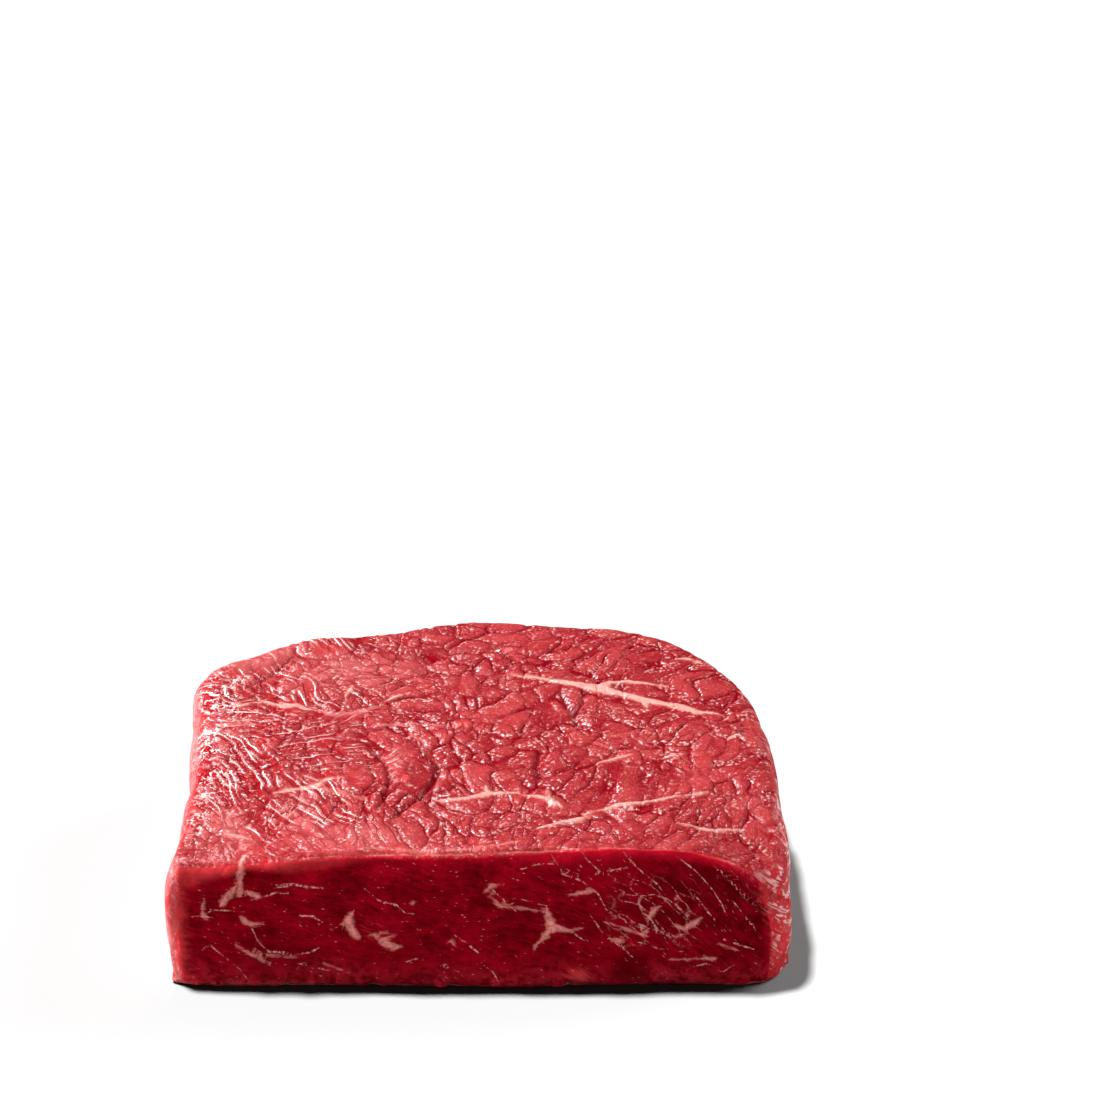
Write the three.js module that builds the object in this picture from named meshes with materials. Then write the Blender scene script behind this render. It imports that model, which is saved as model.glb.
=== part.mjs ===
// A raw rump steak: one thick slice of beef lying flat, knife-cut straight across the front.
// Millimetres, +Z up. X runs along the straight front cut, Y from the front cut to the rounded back.
// The origin is the middle of the flat underside's bounding box.
import * as THREE from "three";

// Driving dimensions
const THICKNESS = 26.4; // underside to the level part of the top
const WAIST_HEIGHT = 7; // height at which the wall bulges out most
const RIM_WIDTH = 6; // how far the rounded upper edge reaches in, at the sides and back
const FRONT_RIM_WIDTH = 3.5; // the same along the knife cut, where the edge is crisper
const FOOT_WIDTH = 1.3; // how far the lower edge tucks in
const RIM_POWER = 3.2; // squareness of the wall above the waist
const FOOT_POWER = 3; // squareness of the wall below the waist
const BUNDLE_WIDTH = 5.2; // a bundle of muscle fibres on the top, near the middle
const BUNDLE_LENGTH = 7.2;
const BUNDLE_FAN = 0.006; // how much wider the bundles get for each millimetre towards the back
const BUNDLE_UNEVENNESS = 0.5; // spread of the bundles' heights
const FURROW_DEPTH = 0.6; // depth of the furrows between bundles
const FURROW_SHARE = 0.48; // how much of a bundle its sloping sides take up
const CUT_CALM = 0.35; // how much of the bundles' relief is left at the knife cut
const SWELL_BREADTH = 17; // breadth and height of the slow swells of the top
const SWELL_HEIGHT = 0.55;
const CUT_RELIEF = 0.4; // unevenness of the knife cut
const WALL_RELIEF = 0.6; // unevenness of the side and back walls

// How finely the surface is divided
const TOP_CELLS = 58; // along each side of the top
const WALL_ROWS = 7; // from the top's edge down to the waist
const FOOT_ROWS = 3; // from the waist to the underside
const OUTLINE_STEPS = 24; // curve samples for each outline point

// Outline at the waist, seen from above, anticlockwise from the front left corner.
const OUTLINE = [
  [-49.8, -45.8], [-20, -46.2], [5, -46.7], [32, -45.8], [47.8, -45.6], // knife cut
  [53.4, -41], [54.4, -30], [54, -10], [52.8, 7], // right side
  [49.9, 19.2], [44, 30.3], [36, 38.9], [27, 43.3], [13, 45.8], [0, 47.8], // rounded back
  [-11, 46.4], [-19, 42.8], [-30, 40.2], [-38, 38.4], [-46, 33], [-53.4, 27.2], // shoulder
  [-56.2, 19.6], [-55.1, 4], [-53.6, -16], [-53.7, -32], [-54.2, -42.4], // left side
];
// The outline points at which the four edges of the top's grid meet.
const GRID_CORNERS = [0, 4, 10, 20];

// Clefts where bundles have parted: their course across the top, width and depth.
const CLEFTS = [
  { course: [[-21, -7], [-17.6, -13], [-17.2, -20], [-18, -27]], width: 1.6, depth: 1.4 },
  { course: [[-11, -9], [-9, -15], [-10.2, -22], [-13.5, -29.5]], width: 1.8, depth: 1.7 },
  { course: [[1, 33], [3.4, 31], [5, 27]], width: 1.5, depth: 1.2 },
  { course: [[18.6, 16], [18.3, 11], [16.6, 6], [17.2, 1]], width: 1.5, depth: 1.2 },
  { course: [[10, -9], [9.6, -13.5], [10.4, -18]], width: 1.5, depth: 1 },
  { course: [[-50, 19], [-45.5, 17.5], [-41, 22.5], [-37.5, 30]], width: 1.8, depth: 1.2 },
];

// Lumps and hollows of the knife cut: place along it, height, reach and how far they stand out.
const CUT_LUMPS = [
  { x: 17.5, z: 2.5, reach: 3.6, height: 0.7 },
  { x: 26, z: 3.5, reach: 4.2, height: -0.7 },
  { x: -20, z: 12, reach: 6, height: 0.4 },
  { x: -36, z: 8, reach: 7, height: -0.4 },
];

const { clamp, lerp, smoothstep } = THREE.MathUtils;

// A repeatable number from 0 to 1 for each lattice point.
function scatter(i, j, k, salt) {
  const s = Math.sin(i * 127.1 + j * 311.7 + k * 74.7 + salt * 53.3) * 43758.5453;
  return s - Math.floor(s);
}

// Smooth noise from -1 to 1: lattice values blended along the three axes.
function smoothNoise(x, y, z, salt) {
  const [i, j, k] = [x, y, z].map(Math.floor);
  const [u, v, w] = [x - i, y - j, z - k].map((t) => smoothstep(t, 0, 1));
  const edge = (dj, dk) => lerp(scatter(i, j + dj, k + dk, salt), scatter(i + 1, j + dj, k + dk, salt), u);
  const layer = (dk) => lerp(edge(0, dk), edge(1, dk), v);
  return 2 * lerp(layer(0), layer(1), w) - 1;
}

// Distances to the nearest scattered cell centre and to the next one, in cell widths,
// with the nearest cell's own number from 0 to 1.
function scatteredCells(x, y, z, salt) {
  const [i, j, k] = [x, y, z].map(Math.floor);
  let [nearest, next, number] = [Infinity, Infinity, 0];
  for (let a = i - 1; a <= i + 1; a++)
    for (let b = j - 1; b <= j + 1; b++)
      for (let c = k - 1; c <= k + 1; c++) {
        const distance = Math.hypot(
          a + scatter(a, b, c, salt) - x,
          b + scatter(a, b, c, salt + 1) - y,
          c + scatter(a, b, c, salt + 2) - z,
        );
        if (distance < nearest) [nearest, next, number] = [distance, nearest, scatter(a, b, c, salt + 3)];
        else if (distance < next) next = distance;
      }
  return { nearest, next, number };
}

// Distance from a point of the top to an open line of points.
function distanceToCourse(x, y, course) {
  let least = Infinity;
  for (let n = 1; n < course.length; n++) {
    const [ax, ay] = course[n - 1];
    const [dx, dy] = [course[n][0] - ax, course[n][1] - ay];
    const t = clamp(((x - ax) * dx + (y - ay) * dy) / (dx * dx + dy * dy), 0, 1);
    least = Math.min(least, Math.hypot(x - ax - t * dx, y - ay - t * dy));
  }
  return least;
}

// Height of the top: level in the middle, lower at the two front corners
// and highest behind the cut, right of the middle.
function topHeight(x, y) {
  const nearFront = smoothstep(-y, 20, 46);
  const leftCorner = 2.4 * smoothstep(-x, 20, 54) * nearFront;
  const rightCorner = 4 * smoothstep(x, 36, 54) * smoothstep(-y, 22, 46);
  const brow = Math.exp(-(((x - 18) / 20) ** 2)) * smoothstep(-y, 25, 45);
  return THICKNESS - leftCorner - rightCorner + brow;
}

// Relief of the top: domed bundles at uneven heights, furrows between them, clefts and slow swells.
function topRelief(x, y, z) {
  const bend = 0.6 * smoothNoise(x / 9, y / 9, z / 9, 17);
  const across = x / (BUNDLE_WIDTH * (1 + BUNDLE_FAN * y)) + bend;
  const along = y / BUNDLE_LENGTH + 0.9 * smoothNoise(x / 14, y / 14, z / 14, 11);
  const { nearest, next, number } = scatteredCells(across, along, z / (3 * BUNDLE_WIDTH), 3);
  const furrow = FURROW_DEPTH * (1 - smoothstep(next - nearest, 0, FURROW_SHARE));
  const dome = BUNDLE_UNEVENNESS * (number - nearest);
  const calm = lerp(CUT_CALM, 1, smoothstep(y, -45, -36));
  const swell = SWELL_HEIGHT * smoothNoise(x / SWELL_BREADTH, y / SWELL_BREADTH, z / SWELL_BREADTH, 5);
  return CLEFTS.reduce((height, cleft) =>
    height - cleft.depth * (1 - smoothstep(distanceToCourse(x, y, cleft.course), 0, cleft.width)),
  calm * (dome - furrow) + swell);
}

// Relief of the knife cut: shallow streaks and the few lumps and hollows.
function cutRelief(x, z) {
  return CUT_LUMPS.reduce((height, lump) =>
    height + lump.height * Math.exp(-(((x - lump.x) ** 2 + (z - lump.z) ** 2) / lump.reach ** 2)),
  CUT_RELIEF * smoothNoise(x / 7, z / 4, 0, 23));
}

// How far the flesh stands out of the smooth form at a point whose outward direction is given.
function relief({ x, y, z }, normal) {
  const onTop = smoothstep(normal.z, 0.35, 0.8);
  const onCut = smoothstep(-normal.y, 0.6, 0.95) * (1 - onTop);
  const onWall = (1 - onTop) * (1 - onCut);
  const aboveFoot = smoothstep(z, 0.2, 3);
  const wall = WALL_RELIEF * smoothNoise(x / 6, y / 6, z / 8, 29);
  return aboveFoot * (onTop * topRelief(x, y, z) + onCut * cutRelief(x, z) + onWall * wall);
}

// The outline as four edges of equally spaced points: front, right, back and left.
function outlineEdges() {
  const curve = new THREE.CatmullRomCurve3(
    OUTLINE.map(([x, y]) => new THREE.Vector3(x, y, 0)), true, "catmullrom", 0.5);
  return GRID_CORNERS.map((from, side) => {
    const to = side < 3 ? GRID_CORNERS[side + 1] : OUTLINE.length;
    const samples = Array.from({ length: (to - from) * OUTLINE_STEPS + 1 }, (_, n) =>
      curve.getPoint(((from + n / OUTLINE_STEPS) / OUTLINE.length) % 1));
    return evenlySpaced(samples, TOP_CELLS);
  });
}

// The same line as count + 1 points at equal distances along it.
function evenlySpaced(samples, count) {
  const lengths = [0];
  for (let n = 1; n < samples.length; n++)
    lengths.push(lengths[n - 1] + samples[n].distanceTo(samples[n - 1]));
  let at = 1;
  return Array.from({ length: count + 1 }, (_, n) => {
    const wanted = (lengths[lengths.length - 1] * n) / count;
    while (at < samples.length - 1 && lengths[at] < wanted) at++;
    const share = (wanted - lengths[at - 1]) / (lengths[at] - lengths[at - 1]);
    return samples[at - 1].clone().lerp(samples[at], clamp(share, 0, 1));
  });
}

// A point of the wall at an outline point. The turn is 1 at the top's edge, 0 at the waist, -1 underneath.
function wallPoint(edge, turn) {
  const atCut = 1 - smoothstep(edge.y, -44.5, -38);
  const [width, power] = turn > 0
    ? [lerp(RIM_WIDTH, FRONT_RIM_WIDTH, atCut), RIM_POWER] : [FOOT_WIDTH, FOOT_POWER];
  const angle = (Math.abs(turn) ** (power / 2) * Math.PI) / 2;
  const inset = width * (1 - Math.cos(angle) ** (2 / power));
  const rise = Math.sin(angle) ** (2 / power);
  const scale = 1 - inset / edge.length();
  const height = turn > 0 ? lerp(WAIST_HEIGHT, topHeight(edge.x, edge.y), rise) : WAIST_HEIGHT * (1 - rise);
  return new THREE.Vector3(edge.x * scale, edge.y * scale, height);
}

// A point inside a loop of four edges, at shares u and v across it: the edges blended, less their corners.
function insideLoop([front, right, back, left], u, v, n, m) {
  const blend = (key) =>
    lerp(front[n][key], back[TOP_CELLS - n][key], v) + lerp(left[TOP_CELLS - m][key], right[m][key], u)
    - lerp(lerp(front[0][key], front[TOP_CELLS][key], u), lerp(back[TOP_CELLS][key], back[0][key], u), v);
  return new THREE.Vector3(blend("x"), blend("y"), 0);
}

// The smooth closed form as points and triangles, with no relief yet.
function smoothForm() {
  const edges = outlineEdges();
  const rims = edges.map((edge) => edge.map((point) => wallPoint(point, 1)));
  const points = [];
  const triangles = [];
  const side = TOP_CELLS + 1;
  for (let m = 0; m < side; m++)
    for (let n = 0; n < side; n++) {
      const [u, v] = [n / TOP_CELLS, m / TOP_CELLS];
      const outer = insideLoop(edges, u, v, n, m);
      const point = insideLoop(rims, u, v, n, m);
      points.push(point.setZ(topHeight(outer.x, outer.y)));
    }
  const quad = (a, b, c, d) => triangles.push(a, b, c, a, c, d);
  for (let m = 0; m < TOP_CELLS; m++)
    for (let n = 0; n < TOP_CELLS; n++)
      quad(m * side + n, m * side + n + 1, (m + 1) * side + n + 1, (m + 1) * side + n);

  // The top's edge as one ring of point numbers, in the outline's order
  const steps = Array.from({ length: TOP_CELLS }, (_, n) => n);
  let ring = [
    ...steps, ...steps.map((n) => n * side + TOP_CELLS),
    ...steps.map((n) => TOP_CELLS * side + TOP_CELLS - n), ...steps.map((n) => (TOP_CELLS - n) * side),
  ];
  const outline = edges.flatMap((edge) => edge.slice(0, TOP_CELLS));
  for (let row = 1; row <= WALL_ROWS + FOOT_ROWS; row++) {
    const turn = row <= WALL_ROWS ? 1 - row / WALL_ROWS : (WALL_ROWS - row) / FOOT_ROWS;
    const below = outline.map((edge) => points.push(wallPoint(edge, turn)) - 1);
    ring.forEach((above, n) => {
      const after = (n + 1) % ring.length;
      quad(below[n], below[after], ring[after], above);
    });
    ring = below;
  }
  const foot = ring.map((n) => new THREE.Vector2(points[n].x, points[n].y));
  for (const [a, b, c] of THREE.ShapeUtils.triangulateShape(foot, []))
    triangles.push(ring[a], ring[c], ring[b]);
  return { points, triangles };
}

// The smooth form with its flesh raised and furrowed, centred on its own box.
function steakGeometry() {
  const { points, triangles } = smoothForm();
  const geometry = new THREE.BufferGeometry().setFromPoints(points).setIndex(triangles);
  geometry.computeVertexNormals();
  const normals = geometry.getAttribute("normal");
  const raised = points.map((point, n) => {
    const normal = new THREE.Vector3().fromBufferAttribute(normals, n);
    return point.z > 0 ? point.clone().addScaledVector(normal, relief(point, normal)) : point;
  });
  const box = new THREE.Box3().setFromPoints(raised);
  const middle = box.getCenter(new THREE.Vector3());
  geometry.setFromPoints(raised).translate(-middle.x, -middle.y, -box.min.z);
  geometry.computeVertexNormals();
  return geometry;
}

const flesh = new THREE.MeshStandardMaterial({ color: 0xa8323a, roughness: 0.35, metalness: 0 });
const steak = new THREE.Mesh(steakGeometry(), flesh);
steak.name = "steak";

const part = new THREE.Group();
part.add(steak);
export default part;
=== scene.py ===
# A raw beef rump steak on a pale floor.
# Shape sizes are millimetres in the outline's own frame. The last step fits the surface to the CAD's box,
# which is in metres.
import math
from itertools import product

import bpy
import numpy as np
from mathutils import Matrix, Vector


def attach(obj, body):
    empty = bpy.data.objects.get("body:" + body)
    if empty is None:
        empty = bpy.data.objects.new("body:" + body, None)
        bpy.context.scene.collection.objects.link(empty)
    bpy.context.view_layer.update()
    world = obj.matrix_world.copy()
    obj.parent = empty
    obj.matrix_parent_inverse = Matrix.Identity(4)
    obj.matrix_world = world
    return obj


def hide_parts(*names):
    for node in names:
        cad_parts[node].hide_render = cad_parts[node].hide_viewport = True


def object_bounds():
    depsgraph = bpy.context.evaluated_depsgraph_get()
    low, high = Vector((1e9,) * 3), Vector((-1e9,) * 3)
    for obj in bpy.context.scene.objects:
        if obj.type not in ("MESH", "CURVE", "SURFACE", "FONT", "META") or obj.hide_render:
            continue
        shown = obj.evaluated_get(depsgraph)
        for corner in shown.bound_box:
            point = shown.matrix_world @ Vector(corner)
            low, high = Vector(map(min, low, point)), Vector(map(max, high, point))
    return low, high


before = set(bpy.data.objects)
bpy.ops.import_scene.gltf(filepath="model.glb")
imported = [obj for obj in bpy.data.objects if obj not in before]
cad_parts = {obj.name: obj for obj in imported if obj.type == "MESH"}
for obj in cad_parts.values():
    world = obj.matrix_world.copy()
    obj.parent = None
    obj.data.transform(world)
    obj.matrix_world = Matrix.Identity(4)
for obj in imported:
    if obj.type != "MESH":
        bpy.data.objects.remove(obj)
cadLow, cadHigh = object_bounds()
print("frame loaded")


def smoothstep(low, high, x):  # 0 below low, 1 above high, and 3t^2 - 2t^3 between them
    t = np.clip((x - low) / (high - low), 0, 1)
    return t * t * (3 - 2 * t)


def mix(a, b, share):  # a where the share is 0, b where it is 1
    return a + (b - a) * share


def scatter(i, j, k, salt):  # a repeatable number from 0 to 1 for each lattice point
    s = np.sin(i * 127.1 + j * 311.7 + k * 74.7 + salt * 53.3) * 43758.5453
    return s - np.floor(s)


def smoothNoise(x, y, z, salt):  # -1 to 1: the eight lattice numbers round a point, blended smoothly
    i, j, k = np.floor(x), np.floor(y), np.floor(z)
    u, v, w = (smoothstep(0, 1, t) for t in (x - i, y - j, z - k))
    layers = []
    for c in (0, 1):
        near = mix(scatter(i, j, k + c, salt), scatter(i + 1, j, k + c, salt), u)
        far = mix(scatter(i, j + 1, k + c, salt), scatter(i + 1, j + 1, k + c, salt), u)
        layers.append(mix(near, far, v))
    return 2 * mix(*layers, w) - 1


def cellPattern(x, y, z, salt):
    # One scattered centre in each unit cube. Gives the offset to the nearest centre p, the distance to the
    # border with its closest neighbour q, (|q|^2 - |p|^2) / (2 |q - p|), the same with a sign that flips
    # across each border, so that it runs straight through 0 there, the number of the cell, and the way in
    # which the signed distance grows, which is the same on both sides of the border.
    here = np.stack([x, y, z], -1)
    cubes = np.stack([np.floor(here) + offset for offset in product((-1, 0, 1), repeat=3)], 1)
    i, j, k = cubes[..., 0], cubes[..., 1], cubes[..., 2]
    centres = cubes + np.stack([scatter(i, j, k, salt + n) for n in range(3)], -1) - here[:, None]
    squares = (centres ** 2).sum(-1)
    rows, first = np.arange(len(x)), squares.argmin(1)
    nearest = centres[rows, first]
    gap = np.linalg.norm(centres - nearest[:, None], axis=-1)
    borders = (squares - squares.min(1)[:, None]) / (2 * np.maximum(gap, 1e-6))
    borders[rows, first] = 9  # keeps the nearest centre itself out of the search
    second = borders.argmin(1)
    number, other = (scatter(*cubes[rows, at].T, salt + 3) for at in (first, second))
    border, sign = borders[rows, second], np.sign(number - other)
    inward = (nearest - centres[rows, second]) / gap[rows, second][:, None]
    return nearest, border, border * sign, number, inward * sign[:, None]


def strokeDistance(x, y, strokes):
    # For the nearest stroke, the distance to its edge, below 0 inside it, the distance to its middle line,
    # below 0 on one side of it, and the half width that it has there.
    away = 50.0  # farther than any stroke matters
    least, side, half = np.full(x.shape, away), np.full(x.shape, away), np.zeros(x.shape)
    for stroke in strokes:
        for (ax, ay, aw), (bx, by, bw) in zip(stroke, stroke[1:]):
            dx, dy = bx - ax, by - ay
            t = np.clip(((x - ax) * dx + (y - ay) * dy) / (dx * dx + dy * dy), 0, 1)
            offX, offY, width = x - ax - t * dx, y - ay - t * dy, mix(aw, bw, t)
            distance = np.hypot(offX, offY)
            closer = distance - width < least
            least = np.where(closer, distance - width, least)
            side = np.where(closer, np.where(dx * offY > dy * offX, distance, -distance), side)
            half = np.where(closer, width, half)
    return least, side, half


def addObject(name, data):  # a new object in the scene
    made = bpy.data.objects.new(name, data)
    bpy.context.scene.collection.objects.link(made)
    return made


steak = {
    "node": "steak",
    "thickness": 26.4,  # underside to the level part of the top
    "waist": 7.0,  # height at which the wall bulges out most
    "rim": 6.0,  # how far the rounded upper edge reaches in, at the sides and back
    "cutRim": 3.5,  # the same along the knife cut
    "foot": 1.3,  # how far the lower edge tucks in
    "rimPower": 3.2,  # squareness of the wall above and below the waist
    "footPower": 3.0,
    "cutEnds": (-44.5, -38),  # y over which the rim of the cut gives way to that of the sides
    "leftDrop": 2.4,  # how far the top falls towards its front left corner, and towards the right one
    "rightDrop": 4.0,
    "brow": 1.0,  # rise of the top behind the right half of the cut
    "cellsAcross": 276,  # how finely the top is divided along X and along Y
    "cellsDeep": 220,
    "wallRows": 26,  # rows from the top's edge to the waist, and from there to the underside
    "footRows": 8,
    "spanSteps": 48,  # points worked out between two points of the outline
    "undersideRings": (0.985, 0.96, 0.9, 0.75, 0.45),  # each ring's size, as a share of the one round it
    "outline": [
        (-49.8, -45.8), (-20, -46.2), (5, -46.7), (32, -45.8), (47.8, -45.6),  # knife cut
        (53.4, -41), (54.4, -30), (54, -10), (52.8, 7),  # right side
        (49.9, 19.2), (44, 30.3), (36, 38.9), (27, 43.3), (13, 45.8), (0, 47.8),  # rounded back
        (-11, 46.4), (-19, 42.8), (-30, 40.2), (-38, 38.4), (-46, 33), (-53.4, 27.2),  # shoulder
        (-56.2, 19.6), (-55.1, 4), (-53.6, -16), (-53.7, -32), (-54.2, -42.4),  # left side
    ],
    "corners": (0, 4, 10, 20),  # outline points where the four edges of the top's grid meet
}


def outlineEdges():
    # The closed Catmull-Rom curve through the outline, cut at the corners into four edges of evenly spaced
    # points.
    points = np.array(steak["outline"], float)
    count, fine = len(points), steak["spanSteps"]
    ends = list(steak["corners"]) + [count]
    edges = []
    for start, end, cells in zip(ends, ends[1:], (steak["cellsAcross"], steak["cellsDeep"]) * 2):
        at = start + np.arange((end - start) * fine + 1) / fine
        i, f = np.floor(at).astype(int), (at % 1)[:, None]
        a, b, c, d = (points[(i + n) % count] for n in (-1, 0, 1, 2))
        square, cube = 2 * a - 5 * b + 4 * c - d, 3 * b - a - 3 * c + d
        curve = (2 * b + (c - a) * f + square * f ** 2 + cube * f ** 3) / 2
        length = np.append(0, np.cumsum(np.linalg.norm(np.diff(curve, axis=0), axis=1)))
        even = np.linspace(0, length[-1], cells + 1)
        edges.append(np.stack([np.interp(even, length, curve[:, n]) for n in (0, 1)], -1))
    return edges


def topHeight(x, y):  # level in the middle, lower at the two front corners, highest behind the cut
    leftCorner = steak["leftDrop"] * smoothstep(20, 54, -x) * smoothstep(20, 46, -y)
    rightCorner = steak["rightDrop"] * smoothstep(36, 54, x) * smoothstep(22, 46, -y)
    brow = steak["brow"] * np.exp(-((x - 18) / 20) ** 2) * smoothstep(25, 45, -y)
    return steak["thickness"] - leftCorner - rightCorner + brow


def wallRow(outline, turn):
    # A superellipse from the top's edge (turn 1) over the waist (0) to the underside (-1), set in towards
    # the middle.
    x, y = outline[:, 0], outline[:, 1]
    atCut = 1 - smoothstep(*steak["cutEnds"], y)
    width = mix(steak["rim"], steak["cutRim"], atCut) if turn > 0 else steak["foot"]
    power = steak["rimPower"] if turn > 0 else steak["footPower"]
    angle = abs(turn) ** (power / 2) * math.pi / 2
    rise = math.sin(angle) ** (2 / power)
    inset = width * (1 - max(math.cos(angle), 0) ** (2 / power))
    scale = 1 - inset / np.hypot(x, y)
    if turn > 0:
        z = mix(steak["waist"], topHeight(x, y), rise)
    else:
        z = np.full(x.shape, steak["waist"] * (1 - rise))
    return np.stack([x * scale, y * scale, z], -1)


def insideLoop(edges):  # Coons patch: opposite edges blended both ways, less the blend of the corners
    front, right, back, left = edges[0], edges[1], edges[2][::-1], edges[3][::-1]
    u = np.linspace(0, 1, len(front))[None, :, None]
    v = np.linspace(0, 1, len(right))[:, None, None]
    corners = mix(mix(front[0], front[-1], u), mix(back[0], back[-1], u), v)
    return mix(front[None], back[None], v) + mix(left[:, None], right[:, None], u) - corners


def smoothForm():
    # Points and faces of the closed form with no relief: the top's grid, the wall's rows, and an underside
    # whose rings have half as many points each time.
    edges = outlineEdges()
    outline = np.concatenate([edge[:-1] for edge in edges])
    rimEdges = [wallRow(edge, 1)[:, :2] for edge in edges]
    across, deep = steak["cellsAcross"] + 1, steak["cellsDeep"] + 1
    outer = insideLoop(edges)
    top = np.dstack([insideLoop(rimEdges), topHeight(outer[..., 0], outer[..., 1])]).reshape(-1, 3)
    number = np.arange(across * deep).reshape(deep, across)
    cellCorners = number[:-1, :-1], number[:-1, 1:], number[1:, 1:], number[1:, :-1]
    quads = [np.stack(cellCorners, -1).reshape(-1, 4)]
    ring = np.concatenate([number[0, :-1], number[:-1, -1], number[-1, :0:-1], number[:0:-1, 0]])
    points, count = [top], len(top)
    rows, footRows = steak["wallRows"], steak["footRows"]
    turns = [1 - n / rows for n in range(1, rows + 1)] + [-n / footRows for n in range(1, footRows + 1)]
    for turn in turns:
        points.append(wallRow(outline, turn))
        below = count + np.arange(len(outline))
        quads.append(np.stack([below, np.roll(below, -1), np.roll(ring, -1), ring], -1))
        ring, count = below, count + len(outline)
    foot = points[-1]
    triangles = []
    for scale in steak["undersideRings"]:
        foot = foot[::2] * scale
        points.append(foot)
        inner = count + np.arange(len(foot))
        a, b, c, d = ring[::2], ring[1::2], np.roll(ring, -2)[::2], np.roll(inner, -1)
        triangles += [np.stack(corner, -1) for corner in ((b, a, inner), (b, inner, d), (b, d, c))]
        ring, count = inner, count + len(foot)
    points.append(np.zeros((1, 3)))
    triangles.append(np.stack([np.roll(ring, -1), ring, np.full(len(ring), count)], -1))
    return np.concatenate(points), np.concatenate(quads), np.concatenate(triangles)


def pointNormals(points, quads, triangles):
    # At each point, the sum of the cross products of the faces round it, divided by its length.
    normals = np.zeros_like(points)
    for faces in (quads, triangles):
        a, b, c, d = (points[faces[:, n]] for n in (0, 1, 2, -1))
        cross = np.cross(c - a, d - b) if faces.shape[1] == 4 else np.cross(b - a, c - a)
        for corner in faces.T:
            np.add.at(normals, corner, cross)
    return normals / np.linalg.norm(normals, axis=1)[:, None]


flesh = {
    "bundleWidth": 5.2,  # a bundle of muscle fibres on the top
    "bundleLength": 7.2,
    "bundleFan": 0.006,  # how much wider the bundles get for each millimetre towards the back
    "acrossBend": 0.6,  # how far slow noise bends the bundles sideways, and along themselves
    "alongBend": 0.9,
    "fineBend": 0.09,  # the same for the small waves of their borders
    "unevenness": 0.2,  # spread of the bundles' heights
    "tilt": 0.1,
    "dome": 0.08,
    "furrowDepth": 0.28,
    "furrowWidth": 0.3,
    "strandShare": 0.58,  # width of a strand inside a bundle, in bundle widths
    "strandDepth": 0.08,
    "cutCalm": 0.35,  # how much of the top's relief is left at the knife cut
    "swellBreadth": 17.0,
    "swellHeight": 0.55,
    "leftPart": (14, 32),  # -x over which the wrinkles of the left part set in
    "wrinkleDepth": 0.17,
    "wrinkleSpacing": 1.9,
    "wrinkleLength": 5.5,
    "wrinkleBend": (1.3, 0.25),  # how far slow noise and finer noise bend them, in spacings
    "wrinkles": [  # degrees from X to the way across them, with the place: x, y and its reach along each
        (32, -30, 0, 400, 400), (68, -43, 5, 8, 9), (118, -25, -5, 15, 13),
    ],
    "wrinkledPatch": (-15.5, -12, 2.5, 4.5),  # wrinkled too, between two clefts
    # Places and reaches of the smoother and paler patches, of those only paler, and of the darker ones; the
    # paleness is partly pale tissue, partly painted sheen
    "calmPatches": [(-27, 23, 14, 9), (-45, 27, 8, 6), (-45, -33, 6, 7), (-22, -39, 9, 4)],
    "milkyPatches": [(-41, 33, 9, 6), (-44, 1, 5, 6.5), (-31, -32.5, 4, 4), (-15.5, -12, 2, 5)],
    "darkPatches": [(-34, -4, 6, 8), (-12, -19, 3, 7), (-43, -14, 3, 6), (-38, -22, 3, 4)],
    "lampWay": (0.93, 0.35),  # the banks of furrows and strands that rise this way face the lamps' gloss, and carry beads of moisture painted as highlights
    "cutRelief": 0.4,  # unevenness of the knife cut
    "wallRelief": 0.6,  # unevenness of the side and back walls
    "lips": 0.9,  # small folds along the foot
    "lipsFade": (1, 2.2),  # heights over which they fade out
    "fatRelief": 0.25,  # height towards which the fat evens out the top's relief
    "rimWave": 0.5,  # unevenness of the edge between the top and the knife cut
    "rimWaveBelow": (4.5, 1.5),  # depths below the top over which it sets in
    "cleftBanks": (0.8, 0.45, 2.6),  # reach of a cleft's left bank, of its right one and of the slope behind
    "clefts": [  # x, y, half width of each cleft, with its depth
        ([(-20.6, -8, 0), (-17.6, -13, 0.1), (-16.4, -20, 0.15), (-18, -28.5, 0)], 0.9),
        ([(-10.5, -9.5, 0), (-7.8, -15, 0.2), (-9, -20.5, 0.2), (-10.8, -25, 0.1), (-15, -31.5, 0)], 1.2),
        ([(1, 33, 0.1), (3.4, 31, 0.2), (5, 27, 0.1)], 0.7),
        ([(18.6, 16, 0.1), (18.3, 11, 0.2), (16.6, 6, 0.2), (17.2, 1, 0.1)], 0.9),
        ([(14.4, 14, 0.1), (14.8, 11, 0.3), (15.6, 8, 0.1)], 0.9),
        ([(10, -9, 0.1), (9.6, -13.5, 0.3), (10.4, -18, 0.1)], 0.9),
        ([(-2, 24, 0.1), (-1.4, 22, 0.2), (2, 21.5, 0.1)], 0.7),
        ([(-50.5, 19.5, 0), (-47, 18.2, 0.1), (-43.5, 18, 0)], 0.8),
        ([(-45.5, 15.5, 0), (-41, 21.5, 0.3), (-37.5, 29, 0)], 0.5),
    ],
    "topLumps": [(-3, 1.3, 1.9, 1.3, 0.5), (-13.6, -19.3, 0.8, 1.5, 0.4)],  # x, y, reaches and height
    "cutLumps": [  # x, z, reach and height of the lumps and hollows of the knife cut
        (17.5, 2.5, 3.6, 0.7), (26, 3.5, 4.2, -0.7), (-20, 12, 6, 0.4), (-36, 8, 7, -0.4),
    ],
}


def hill(x, y, atX, atY, reachX, reachY):  # 1 in the middle, e^-1 at the reach along each way
    return np.exp(-((x - atX) / reachX) ** 2 - ((y - atY) / reachY) ** 2)


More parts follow.
